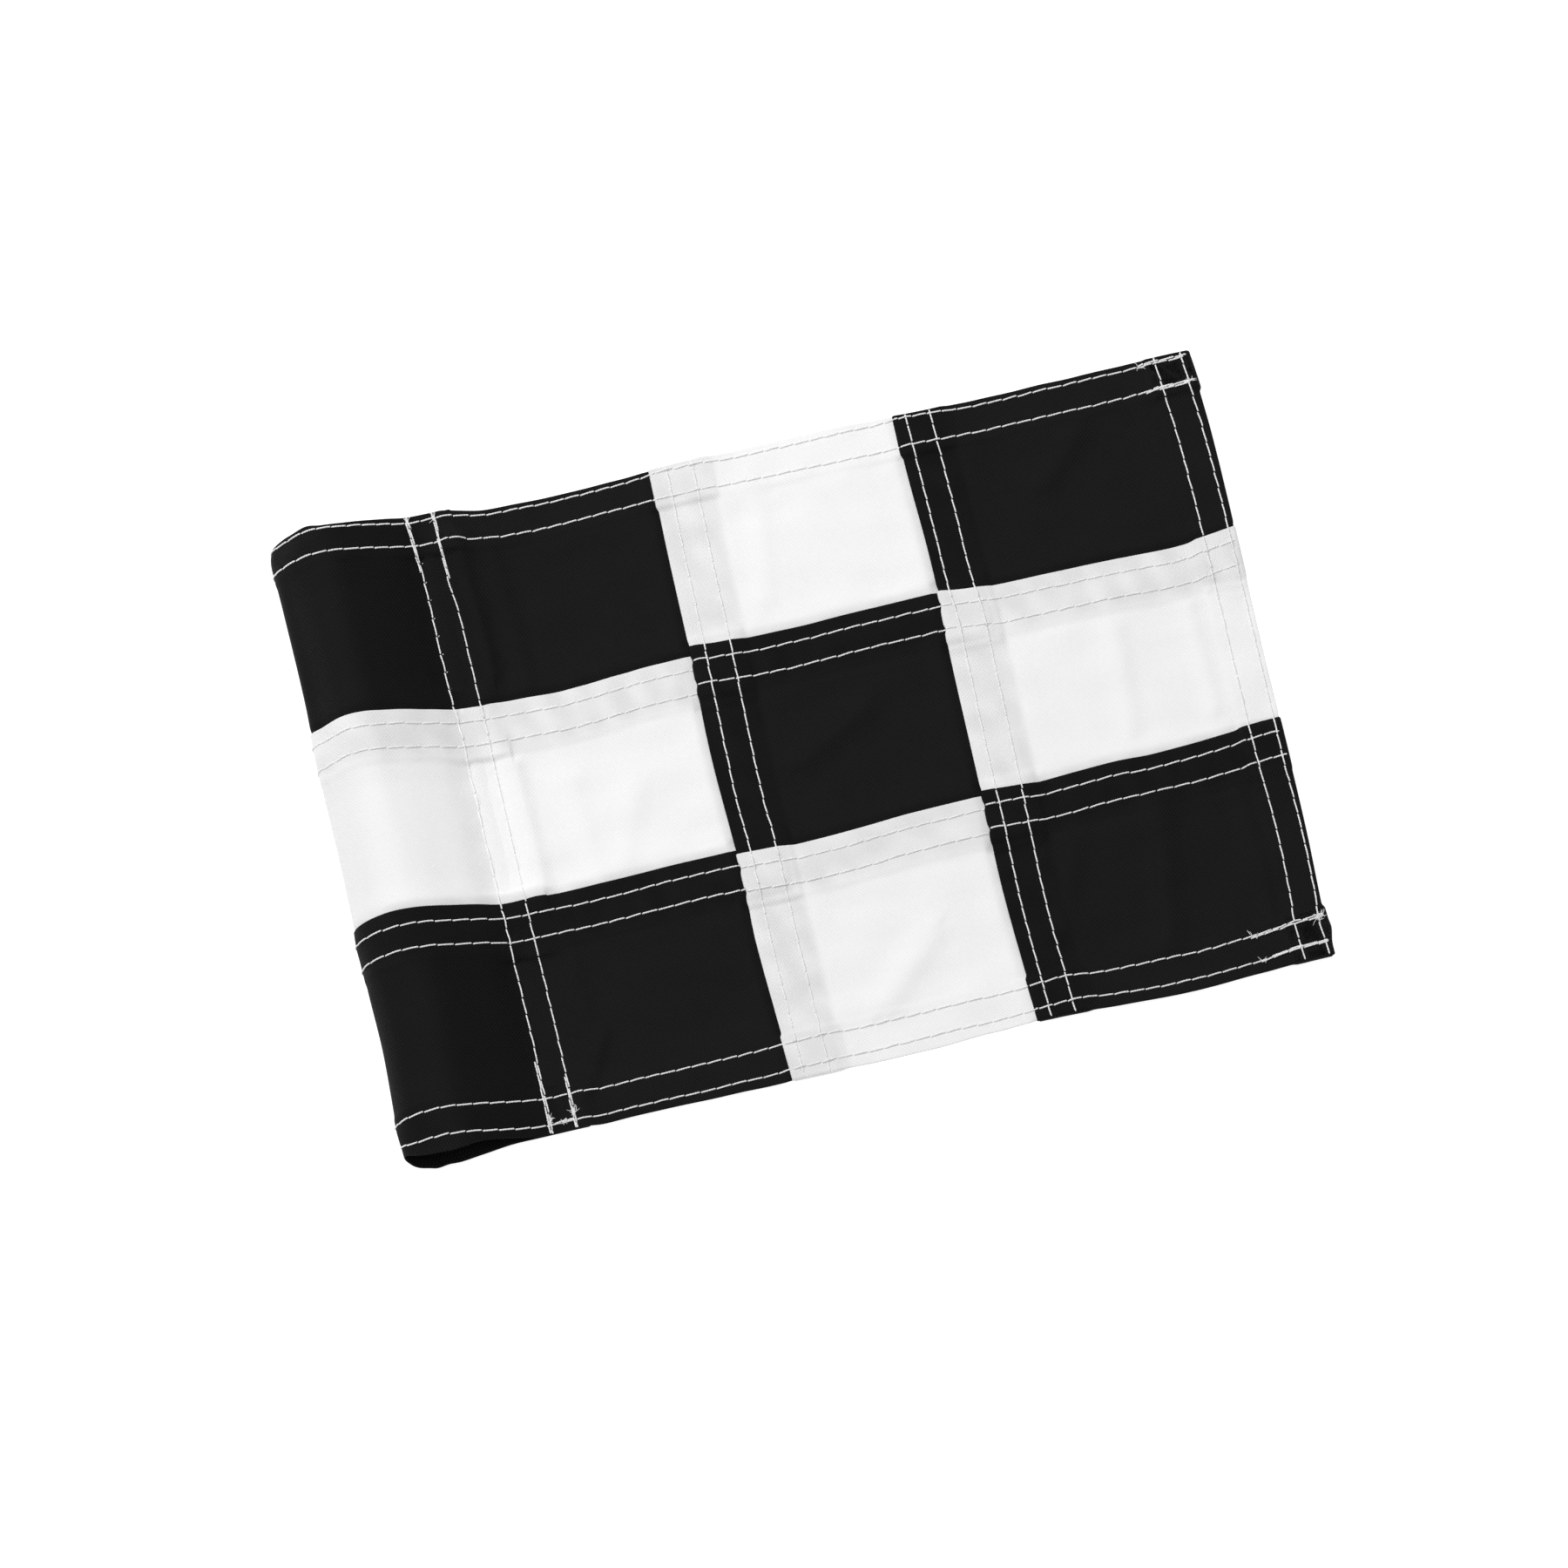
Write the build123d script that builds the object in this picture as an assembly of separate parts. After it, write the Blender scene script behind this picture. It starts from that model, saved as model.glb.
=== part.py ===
"""Sewn 3 x 3 checkered golf flag with an empty pole sleeve, lying flat.

The flag is three column strips of three nylon panels. In a strip each lower panel laps over the panel
above it, and each strip laps over the strip to its left. The fly, top and bottom edges are hemmed to the
back, and the first column is long enough to wrap round to the back as the sleeve for the flagstick.
Every seam and hem is closed by two parallel rows of lockstitch, each a needle thread on the front and a
bobbin thread on the back. Millimetres: X runs from the sleeve fold to the fly edge, Y up the sleeve, and
Z up out of the front face. The sketches start at the lower corner of the sleeve fold, and the finished
pieces are moved so that the origin is below the middle of the flag.
"""
from build123d import *
import math
import os

# Driving dimensions
FLAG_LENGTH = 217.4
FLAG_HEIGHT = 154.2
CLOTH = 0.30                # thickness of one layer of cloth
SEAM_HALF = 0.40            # half the thickness of a sewn lap or hem
NEEDLE_GAUGE = 6.0          # distance between the two rows of a seam
FOLD_MARGIN = 3.0           # folded edge of a lap to its first row
THREAD_WIDTH = 0.50
THREAD_DEPTH = 0.12         # how far a thread sinks into the seam

COLUMN_FOLDS = (89.8, 147.3)
ROW_FOLDS = (58.2, 109.0)                               # folded top edges of the bottom and middle rows
ROW_SHIFTS = ((0.0, -1.4), (-0.9, 0.9), (0.8, -0.6))    # each strip was sewn on its own, so they step

HEM_TOP_MARGIN = 1.2        # edge of the flag to the outer row
HEM_BOTTOM_MARGIN = 2.8
HEM_FLY_MARGIN = 1.3
HEM_TURN = 2.0              # inner row to the raw side of the hem

SLEEVE_ROW = 33.7           # first row of the sleeve seam, from the fold
SLEEVE_HEIGHT = 14.5        # outside height of the sleeve where it stands open
SLEEVE_CROWN = 11.0         # distance of its highest line from the fold
SLEEVE_FOLD_RADIUS = 4.5
SLEEVE_DIP_RADIUS = 6.0
LAYER_GAP = 0.2             # between the two layers of the sleeve where they meet at its seam
STEP_RUN = 4.0              # length over which the flag drops from the sleeve seam to the table

# Worked-out dimensions
LAP_WIDTH = NEEDLE_GAUGE + 2 * FOLD_MARGIN
LAP_LEVEL = -0.05           # where an over and an under panel meet, about the middle of the seam
GROUND = SEAM_HALF
RAISED = GROUND + 2 * SEAM_HALF + LAYER_GAP
HEM_TOP = HEM_TOP_MARGIN + NEEDLE_GAUGE + HEM_TURN
HEM_BOTTOM = HEM_BOTTOM_MARGIN + NEEDLE_GAUGE + HEM_TURN
HEM_FLY = HEM_FLY_MARGIN + NEEDLE_GAUGE + HEM_TURN
BLOCK_START = SLEEVE_ROW - HEM_TURN
BLOCK_END = SLEEVE_ROW + NEEDLE_GAUGE + HEM_TURN
FLY_HEM_START = FLAG_LENGTH - HEM_FLY

FIELD = (-CLOTH / 2, CLOTH / 2)
SEWN = (-SEAM_HALF, SEAM_HALF)
LOWER_HALF = (-SEAM_HALF, 0.0)
UPPER_HALF = (0.0, SEAM_HALF)
FRONT_THREAD = (SEAM_HALF - THREAD_DEPTH, SEAM_HALF)
BACK_THREAD = (-SEAM_HALF, -SEAM_HALF + THREAD_DEPTH)

COLUMN_NAMES = ("hoist", "centre", "fly")
ROW_NAMES = ("bottom", "middle", "top")
SEAM_NAMES = ("lower", "upper")


# The sleeve's outline

def turned(angle):
    """Unit vector that points up at 0 degrees and turns towards the fold."""
    return (-math.sin(math.radians(angle)), math.cos(math.radians(angle)))


def on_circle(centre, radius, angle):
    direction = turned(angle)
    return (centre[0] + radius * direction[0], centre[1] + radius * direction[1])


def sleeve_stations():
    """Stations round the sleeve's centre line, each a point and its outward normal.

    From the seam it dips up along an arc, climbs a straight flank, rounds the crown, and turns through
    the fold to lie flat again below. The crown's radius is the one that meets the fold tangentially.
    """
    fold_radius = SLEEVE_FOLD_RADIUS
    left = SEAM_HALF
    crown_x = SLEEVE_CROWN
    crown_z = SLEEVE_HEIGHT - SEAM_HALF
    across = crown_x - left - fold_radius
    above = crown_z - GROUND - fold_radius
    crown_radius = (across ** 2 + above ** 2 - fold_radius ** 2) / (2 * (above - fold_radius))
    crown = (crown_x, crown_z - crown_radius)
    fold = (left + fold_radius, GROUND + fold_radius)
    fold_angle = math.degrees(math.atan2(across, fold[1] - crown[1]))

    dip = (BLOCK_START, RAISED + SLEEVE_DIP_RADIUS)
    both = SLEEVE_DIP_RADIUS + crown_radius
    apart = math.dist(dip, crown)
    flank = math.degrees(math.asin(both / apart) - math.atan2(dip[1] - crown[1], dip[0] - crown[0]))

    stations = []
    for angle in (0, flank / 2, flank):
        below = on_circle(dip, -SLEEVE_DIP_RADIUS, -angle)
        stations.append((below, turned(-angle)))
    for angle in (-flank, (fold_angle - flank) / 2, fold_angle):
        stations.append((on_circle(crown, crown_radius, angle), turned(angle)))
    for angle in ((fold_angle + 180) / 2, 180):
        stations.append((on_circle(fold, fold_radius, angle), turned(angle)))
    return stations


def offset_point(station, distance):
    point, normal = station
    return (point[0] + distance * normal[0], 0, point[1] + distance * normal[1])


def sleeve_side(distance, right_end):
    """Edges of one side of the wrapped cloth, from its right end, round the sleeve, to its turned end."""
    stations = [offset_point(station, distance) for station in sleeve_stations()]
    start = (right_end, 0, GROUND + distance)
    foot = (BLOCK_END + STEP_RUN, 0, GROUND + distance)
    step = (BLOCK_END, 0, RAISED + distance)
    end = (BLOCK_END, 0, GROUND - distance)
    return [
        Line(start, foot),
        Line(foot, step),
        Line(step, stations[0]),
        ThreePointArc(*stations[0:3]),
        Line(stations[2], stations[3]),
        ThreePointArc(*stations[3:6]),
        ThreePointArc(stations[5], stations[6], stations[7]),
        Line(stations[7], end),
    ]


# Building blocks

def slab(x_range, y_range, z_range):
    """A box from its ranges in X, Y and absolute Z."""
    size = [high - low for low, high in (x_range, y_range, z_range)]
    place = Location((x_range[0], y_range[0], z_range[0]))
    return place * Box(*size, align=(Align.MIN, Align.MIN, Align.MIN))


def flat(x_range, y_range, offsets):
    """Flat cloth whose Z range is given about the middle of the cloth on the table."""
    return slab(x_range, y_range, (GROUND + offsets[0], GROUND + offsets[1]))


def wrapped(y_range, offsets, right_end):
    """Cloth between two offsets of the wrapped centre line, over a range of Y."""
    inner = sleeve_side(offsets[0], right_end)
    outer = sleeve_side(offsets[1], right_end)
    closing = [Line(inner[0] @ 0, outer[0] @ 0), Line(inner[-1] @ 1, outer[-1] @ 1)]
    profile = make_face(Wire(inner + outer + closing))
    solid = extrude(profile, amount=y_range[1] - y_range[0], dir=(0, 1, 0))
    return Location((0, y_range[0], 0)) * solid


def seam_block(y_range, z_range):
    """The closed stretch where the sleeve's two layers are sewn together."""
    return slab((BLOCK_START, BLOCK_END), y_range, z_range)


# Where each panel lies

def row_fold(seam, column):
    return ROW_FOLDS[seam] + ROW_SHIFTS[column][seam]


def row_zones(row, column):
    """The panel's stretches in Y, each with the part of the seam thickness that the panel takes."""
    zones = []
    if row == 0:
        zones.append(((0, HEM_BOTTOM), "hem"))
        low = HEM_BOTTOM
    else:
        low = row_fold(row - 1, column)
        zones.append(((low - LAP_WIDTH, low), "under"))
    if row == 2:
        high = FLAG_HEIGHT - HEM_TOP
        zones.append(((low, high), "field"))
        zones.append(((high, FLAG_HEIGHT), "hem"))
    else:
        fold = row_fold(row, column)
        zones.append(((low, fold - LAP_WIDTH), "field"))
        zones.append(((fold - LAP_WIDTH, fold), "over"))
    return zones


def share(whole, kind, level):
    """The part of a thickness that an over or under panel takes, split at a level."""
    parts = {"over": (level, whole[1]), "under": (whole[0], level)}
    return parts.get(kind, whole)


def lap_cell(x_range, y_range, half, kind):
    """A strip's stretch inside a seam between two strips: it has half of the thickness.

    Where a row seam crosses, its two panels meet level with the field's face.
    """
    level = FIELD[0] if half == LOWER_HALF else FIELD[1]
    return flat(x_range, y_range, share(half, kind, level))


def body_cell(x_range, y_range, kind):
    """A strip's open stretch: one layer in the field, or the full thickness of a row seam or hem."""
    whole = FIELD if kind == "field" else SEWN
    return flat(x_range, y_range, share(whole, kind, LAP_LEVEL))


def hoist_cells(y_range, kind):
    """The first column: lap, field, sleeve and the block under the sleeve's seam."""
    fold = COLUMN_FOLDS[0]
    whole = FIELD if kind == "field" else SEWN
    cells = [
        lap_cell((fold, fold + LAP_WIDTH), y_range, LOWER_HALF, kind),
        wrapped(y_range, share(whole, kind, LAP_LEVEL), fold),
    ]
    if kind == "under":
        cells.append(seam_block(y_range, (GROUND - LAP_LEVEL, RAISED + LAP_LEVEL)))
    elif kind != "over":
        cells.append(seam_block(y_range, (GROUND - SEAM_HALF, RAISED + SEAM_HALF)))
    return cells


def centre_cells(y_range, kind):
    left, right = COLUMN_FOLDS
    return [
        lap_cell((left, left + LAP_WIDTH), y_range, UPPER_HALF, kind),
        body_cell((left + LAP_WIDTH, right), y_range, kind),
        lap_cell((right, right + LAP_WIDTH), y_range, LOWER_HALF, kind),
    ]


def fly_cells(y_range, kind):
    left = COLUMN_FOLDS[1]
    return [
        lap_cell((left, left + LAP_WIDTH), y_range, UPPER_HALF, kind),
        body_cell((left + LAP_WIDTH, FLY_HEM_START), y_range, kind),
        flat((FLY_HEM_START, FLAG_LENGTH), y_range, share(SEWN, kind, LAP_LEVEL)),
    ]


def panel(row, column):
    column_cells = (hoist_cells, centre_cells, fly_cells)[column]
    cells = []
    for y_range, kind in row_zones(row, column):
        cells += column_cells(y_range, kind)
    return cells[0].fuse(*cells[1:]).clean()


# Threads

def across(position):
    """The width of a thread about its row."""
    return (position - THREAD_WIDTH / 2, position + THREAD_WIDTH / 2)


def lengthwise_thread(y, column, side):
    """A row along X on one strip, as far as the next strip's fold hides it."""
    offsets = FRONT_THREAD if side == "needle" else BACK_THREAD
    covered = 0 if side == "needle" else LAP_WIDTH
    ends = [fold + covered for fold in COLUMN_FOLDS]
    if column == 0:
        return wrapped(across(y), offsets, ends[0])
    if column == 1:
        return flat((ends[0], ends[1]), across(y), offsets)
    last = FLAG_LENGTH if side == "needle" else FLY_HEM_START
    return flat((ends[1], last), across(y), offsets)


def hem_thread(y, side):
    """A row of the top or bottom hem, which runs from the sleeve's turned end to the fly edge."""
    offsets = FRONT_THREAD if side == "needle" else BACK_THREAD
    return wrapped(across(y), offsets, FLAG_LENGTH)


def upright_thread(x, side):
    """A row along Y; on the back, the top and bottom hems cover its ends."""
    if side == "needle":
        return flat(across(x), (0, FLAG_HEIGHT), FRONT_THREAD)
    return flat(across(x), (HEM_BOTTOM, FLAG_HEIGHT - HEM_TOP), BACK_THREAD)


def sleeve_thread(x, side):
    """A row of the sleeve seam, through both layers of the sleeve."""
    if side == "needle":
        return slab(across(x), (0, FLAG_HEIGHT), (RAISED + FRONT_THREAD[0], RAISED + FRONT_THREAD[1]))
    return flat(across(x), (0, FLAG_HEIGHT), BACK_THREAD)


def all_threads():
    """Every thread in sewing order, as name, solid, and the X or Y of its row."""
    threads = []

    def add(name, make, along, position, *details):
        for side in ("needle", "bobbin"):
            threads.append([f"{name}_{side}_thread", make(position, *details, side), along, position])

    for column, column_name in enumerate(COLUMN_NAMES):
        for seam, seam_name in enumerate(SEAM_NAMES):
            first = row_fold(seam, column) - FOLD_MARGIN
            for row, y in enumerate((first, first - NEEDLE_GAUGE), start=1):
                name = f"{column_name}_{seam_name}_seam_row_{row}"
                add(name, lengthwise_thread, "x", y, column)
    for fold, seam_name in zip(COLUMN_FOLDS, ("hoist_centre", "centre_fly")):
        first = fold + FOLD_MARGIN
        for row, x in enumerate((first, first + NEEDLE_GAUGE), start=1):
            add(f"{seam_name}_seam_row_{row}", upright_thread, "y", x)
    first = FLAG_LENGTH - HEM_FLY_MARGIN
    for row, x in enumerate((first, first - NEEDLE_GAUGE), start=1):
        add(f"fly_hem_row_{row}", upright_thread, "y", x)
    first = FLAG_HEIGHT - HEM_TOP_MARGIN
    for row, y in enumerate((first, first - NEEDLE_GAUGE), start=1):
        add(f"top_hem_row_{row}", hem_thread, "x", y)
    for row, y in enumerate((HEM_BOTTOM_MARGIN, HEM_BOTTOM_MARGIN + NEEDLE_GAUGE), start=1):
        add(f"bottom_hem_row_{row}", hem_thread, "x", y)
    for row, x in enumerate((SLEEVE_ROW, SLEEVE_ROW + NEEDLE_GAUGE), start=1):
        add(f"sleeve_seam_row_{row}", sleeve_thread, "y", x)
    return threads


def meet(first, second):
    """Whether two solids' boxes overlap by more than a touch."""
    one = first.bounding_box()
    two = second.bounding_box()
    touch = 0.01
    lows = [max(a, b) + touch for a, b in zip(one.min, two.min)]
    highs = [min(a, b) for a, b in zip(one.max, two.max)]
    return all(low < high for low, high in zip(lows, highs))


def crossing_levels(z_front):
    """At a crossing the thread sewn last lies outside: the Z ranges of the outer and inner halves."""
    half = THREAD_DEPTH / 2
    middle = z_front - half
    return (middle, z_front), (middle - half, middle)


def thread_faces(x):
    """The outer Z of the threads at X, on the front and on the back."""
    on_block = BLOCK_START < x < BLOCK_END
    return (RAISED if on_block else GROUND) + SEAM_HALF, GROUND - SEAM_HALF


def lay_crossings(threads):
    """Cut each pair of crossing threads to half depth, the one sewn later on the outside."""
    for early in range(len(threads)):
        for late in range(early + 1, len(threads)):
            first = threads[early]
            second = threads[late]
            if first[2] == second[2] or not meet(first[1], second[1]):
                continue
            x, y = (second[3], first[3]) if first[2] == "x" else (first[3], second[3])
            front, back = thread_faces(x)
            outer_front, inner_front = crossing_levels(front)
            outer_back = (back, back + THREAD_DEPTH / 2)
            inner_back = (back + THREAD_DEPTH / 2, back + THREAD_DEPTH)
            for level in (outer_front, outer_back):
                first[1] = first[1] - slab(across(x), across(y), level)
            for level in (inner_front, inner_back):
                second[1] = second[1] - slab(across(x), across(y), level)
    return threads


# The flag

def build():
    threads = lay_crossings(all_threads())
    pieces = {}
    for row, row_name in enumerate(ROW_NAMES):
        for column, column_name in enumerate(COLUMN_NAMES):
            colour = "black" if (row + column) % 2 == 0 else "white"
            cloth = panel(row, column)
            grooves = [solid for _, solid, _, _ in threads if meet(cloth, solid)]
            pieces[f"{row_name}_{column_name}_panel_{colour}"] = cloth.cut(*grooves)
    for name, solid, _, _ in threads:
        pieces[name] = solid
    return pieces


def main():
    os.makedirs("parts", exist_ok=True)
    centred = Location((-FLAG_LENGTH / 2, -FLAG_HEIGHT / 2, 0))
    for name, piece in build().items():
        export_step(centred * piece, os.path.join("parts", f"{name}.step"))


main()
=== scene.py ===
"""A sewn 3 x 3 checkered golf flag with an empty pole sleeve, lying flat on a pale floor.

Every panel is one sheet of thin nylon with its folds, laps and hems turned as a sewer turns them, and
every row of stitches is a thread of its own. Lengths are in millimetres until a mesh is made. A point of
the cloth is named by (q, r): q runs along the flag from the sleeve's fold to the fly edge and is below
zero on the sleeve's back layer, and r runs up the flag from its bottom edge.
"""
import math

import bpy
import numpy as np
from mathutils import Matrix, Vector


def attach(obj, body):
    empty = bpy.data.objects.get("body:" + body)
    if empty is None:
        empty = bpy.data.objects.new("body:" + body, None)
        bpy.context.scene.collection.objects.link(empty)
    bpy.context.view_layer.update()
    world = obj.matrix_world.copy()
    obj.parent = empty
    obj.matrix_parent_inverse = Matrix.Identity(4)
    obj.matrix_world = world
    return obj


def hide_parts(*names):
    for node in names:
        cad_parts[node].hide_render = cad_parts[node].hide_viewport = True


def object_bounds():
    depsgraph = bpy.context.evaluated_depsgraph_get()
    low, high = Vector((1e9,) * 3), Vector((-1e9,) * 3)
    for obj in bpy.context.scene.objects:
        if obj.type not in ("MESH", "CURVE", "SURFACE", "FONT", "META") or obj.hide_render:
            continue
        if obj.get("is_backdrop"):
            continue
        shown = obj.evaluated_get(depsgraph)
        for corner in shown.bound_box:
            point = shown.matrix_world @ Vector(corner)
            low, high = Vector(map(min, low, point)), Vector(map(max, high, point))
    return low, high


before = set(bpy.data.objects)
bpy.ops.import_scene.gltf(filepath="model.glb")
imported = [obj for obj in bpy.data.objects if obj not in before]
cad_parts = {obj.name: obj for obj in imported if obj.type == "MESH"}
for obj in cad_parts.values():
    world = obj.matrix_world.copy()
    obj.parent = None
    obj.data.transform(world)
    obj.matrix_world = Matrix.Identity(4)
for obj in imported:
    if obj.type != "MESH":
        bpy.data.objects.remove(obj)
cad_low, cad_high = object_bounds()

MM = 0.001
LENGTH = (cad_high.x - cad_low.x) / MM
HEIGHT = (cad_high.y - cad_low.y) / MM
random = np.random.default_rng(7)

# Cut and seams
COLUMNS = ("hoist", "centre", "fly")
ROWS = ("bottom", "middle", "top")
SEAMS = ("lower", "upper")
COLUMN_FOLDS = (89.8, 147.3)
ROW_FOLDS = ((58.2, 107.6), (57.3, 109.9), (59.0, 108.4))   # lower and upper seam of each column
GAUGE = 6.0                 # between the two rows of a seam
MARGIN = 3.0                # folded edge to the first row
LAP = GAUGE + 2 * MARGIN
RETURN = 4.6                # cloth turned in at a folded edge
HEM_MARGINS = {"bottom": 2.8, "top": 1.2, "fly": 1.3}
HEM_TURN = 2.0              # inner row to the end of the hem
BOTTOM_HEM = HEM_MARGINS["bottom"] + GAUGE + HEM_TURN
TOP_HEM = HEIGHT - HEM_MARGINS["top"] - GAUGE - HEM_TURN
FLY_HEM = LENGTH - HEM_MARGINS["fly"] - GAUGE - HEM_TURN
SLEEVE_ROWS = (33.7, 39.7)
SLEEVE_END = 42.2           # where the sleeve's back layer ends
BACK_SHIFT = 6.0            # a place at x on the back layer has q = -(x + BACK_SHIFT)
TURN = 0.6                  # q that the turn at the sleeve's end takes
SLEEVE_RETURN = 9.5         # cloth turned in at the sleeve's end

# Cloth and thread
CLOTH = 0.16
LEVEL = 0.19                # from one layer of a seam to the next
EDGE = 0.25                 # centre of a hem's turn to the nominal edge
REACH = 0.23                # how far a turn stands out beyond where it starts
PLY_RADIUS = 0.14
PLY_OFFSET = 0.08
TWIST = 1.15                # length of one turn of the thread's two plies
HOLE_GAP = 0.03             # from a needle hole to the end of the stitch
SHORTEST_STITCH = 0.8
CROSSING_RISE = 0.26        # how much a thread rises over another row's thread
BACKTACK_RISE = 0.14        # how much the second row of a backtack rises over the first
BACKTACK_PHASE = 1.6        # from the first row's holes to the second's
FIBRE_RISE = 0.25
FIBRE_RADIUS = 0.085
THREAD_SIDES = 6            # the faces that close a thread's ends are for six
PITCHES = {"row": 3.95, "column": 3.7, "fly": 4.0, "hem": 3.6, "sleeve": 4.3}   # of each seam's stitches

# How the real sewing strays from the plan: offsets at places along each line
FOLD_1 = ((0, 0.7), (15, 0), (36, -0.8), (47, -0.5), (60, -0.6), (80, -1.2), (92, -1.1), (105, -0.6),
          (134, -0.4), (154, 0))
ROWS_1 = ((0, 0), (30, -0.4), (60, -0.4), (69, -0.8), (86, -0.6), (110, 0), (132, 0.2), (154, 0.7))
FOLD_2 = ((0, 0.8), (15, 0.1), (36, -0.6), (60, -0.2), (92, 0), (105, 0.5), (112, 0.7), (123, 0.6),
          (141, 0), (154, 0.1))
ROWS_2 = ((0, 0.6), (14, 0.2), (30, -0.2), (50, 0.2), (63, 0.2), (93, 0.6), (102, 0.7), (110, 0.2),
          (132, 0), (154, -0.4))
ROWS_2_SECOND = ((0, 0.2), (14, -0.2), (30, -0.6), (50, -0.2), (63, 0.1), (93, 0.6), (102, 0.7), (110, 0),
                 (132, -0.3), (154, -0.7))
FLY_INNER = ((0, 0.2), (9, -0.2), (16, 0.4), (35, 0.8), (50, 0.3), (60, 0.2), (115, 0.2), (132, -0.1),
             (141, -0.6), (154, -1.4))
FLY_OUTER = ((0, 0), (9, -0.6), (16, 0), (35, 0.4), (52, 0.1), (115, 0.2), (132, -0.1), (141, -0.5),
             (154, -1.2))
FLY_EDGE = ((0, -0.9), (3, -0.8), (6.5, 0), (9, -0.3), (14, -0.5), (30, 0), (50, 0.2), (80, 0.1),
            (100, 0.3), (131, 0.4), (144, -0.1), (154, -0.9))
SLEEVE_FIRST = ((0, 0.1), (30, 0.3), (48, 0.1), (100, -0.1), (115, -0.5), (140, -0.5), (148, -0.9),
                (154, -1.3))
SLEEVE_SECOND = ((0, 0), (30, 0.1), (48, -0.1), (112, -0.2), (130, -0.3), (138, -0.9), (154, -1.2))
SLEEVE_SIDE = ((0, -0.1), (8, -0.5), (28, 0.2), (45, -0.1), (76, 0.1), (98, -0.1), (115, 0.4), (140, 0.1),
               (147.5, -0.15), (151, 0.15), (154.5, 1.4))

BOTTOM_EDGE = ((-36, 0.4), (-30, 0.3), (-23, -0.6), (-18, -1.25), (-15.5, -1.1), (-13, -1.4),
               (-11, -0.9), (-9, -0.5), (-7, 0.2), (-5, 1.1), (-2, 1.9), (3, 0.4), (6.5, -0.8),
               (10.5, -1.4), (13.5, -1.0), (17, 0), (20, 0.4), (35, 0.2), (58, 0.4), (72, 0.2),
               (90, -0.2), (110, -0.4), (125, -0.4), (135, 0.2), (152, 0.4), (165, -0.1), (175, -0.7),
               (185, -1.0), (200, -0.4), (217, -0.2))
BOTTOM_OUTER = ((-36, 0), (-30, 0.5), (-13, 1.8), (-3, 1.4), (3, 0.3), (10, -0.3), (40, -0.6), (52, -0.5),
                (87, -0.5), (150, 0.3), (160, 0.5), (170, -0.5), (185, -1.1), (200, -0.5), (205, 0.1),
                (217, 0.4))
BOTTOM_INNER = ((48, -0.1), (87, 0), (150, 0.2), (155, 0.6), (165, -0.1), (182, -0.6), (190, -0.8),
                (200, 0), (217, 1))
TOP_INNER = ((-40, 0), (30, 0), (45, -0.1), (58, -0.3), (69, 0), (80, 0.4), (97, 0.4), (109, 0.2),
             (143, -0.6), (159, -1.0), (217, -1.2))
TOP_OUTER = ((55, -0.3), (85, 0.4), (94, 1), (110, 0.5), (139, 0.4), (152, 0), (165, -0.5), (195, -0.5),
             (217, -0.9))
TOP_EDGE = ((-45, 0), (-20, -0.3), (-6, -0.6), (-1, -0.6), (2.6, -0.1), (5.5, -0.3), (9, -0.2), (12.5, -0.9),
            (17, -0.7), (24, -0.3), (30, 0), (36, 0.1), (42, -0.1), (50, -0.2), (77, 0.4), (97, 0.9),
            (125, 1.1), (140, 0.6), (150, -0.3), (170, -0.2), (200, -0.2), (217, -0.6))
ROW_LINES = (
    (((38, -0.4), (55, -0.3), (78, 0.1), (100, -0.2)),
     ((38, -0.5), (48, -0.5), (58, -0.9), (68, -0.4), (80, 0.2), (100, 0.2))),
    (((91, -0.3), (101, -0.7), (111, -0.6), (121, -0.2), (131, 0.4), (160, 0.5)),
     ((91, -0.1), (96, -0.7), (114, -1), (131, -0.6), (160, -0.6))),
    (((148, -0.4), (158, -1.0), (178, -0.3), (188, -0.6), (203, 0.1), (213, 0.8)),
     ((148, 0.8), (154, 0), (160, -0.4), (188, -0.9), (198, -1.4), (206, -1.3), (217, -0.1))),
)
ROW_SHIFTS = ((-0.85, -0.65), (-0.65, -0.65), (-0.65, -0.65))   # of a seam's rows from its fold's line
FOLD_SHIFTS = ((-0.05, -0.25), (-0.25, -0.15), (-0.25, -0.2))

# The sleeve as it stands: height of its front layer over the table, at places across and up it
ACROSS = (3, 8, 13, 18, 23, 28)
UPWARD = (0, 12, 58, 108, 154)
STANDING = ((6.5, 10, 10, 10.6, 12.6), (9.3, 11.6, 12.6, 14.4, 16.5), (9.3, 11, 12.6, 14.7, 17),
            (7.3, 9, 11, 12.5, 15.2), (4.8, 6.5, 8.4, 9.9, 13), (2.4, 4, 5.7, 6.7, 10.6))
SIDE_HEIGHT = (3, 5.5, 5.5, 7.5, 8)
SEAM_LIFT_1 = (0, 0.5, 1, 2.2, 6.9)
SEAM_LIFT_2 = (0, 0, 0.1, 0.6, 6.6)
BESIDE_LIFT = ((0, 0.1, 0.3, 0.7, 5.4), (0, 0, 0, 0.2, 2.4), (0, 0, 0, 0, 0.8))
BESIDE = (45.6, 51, 60)

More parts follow.
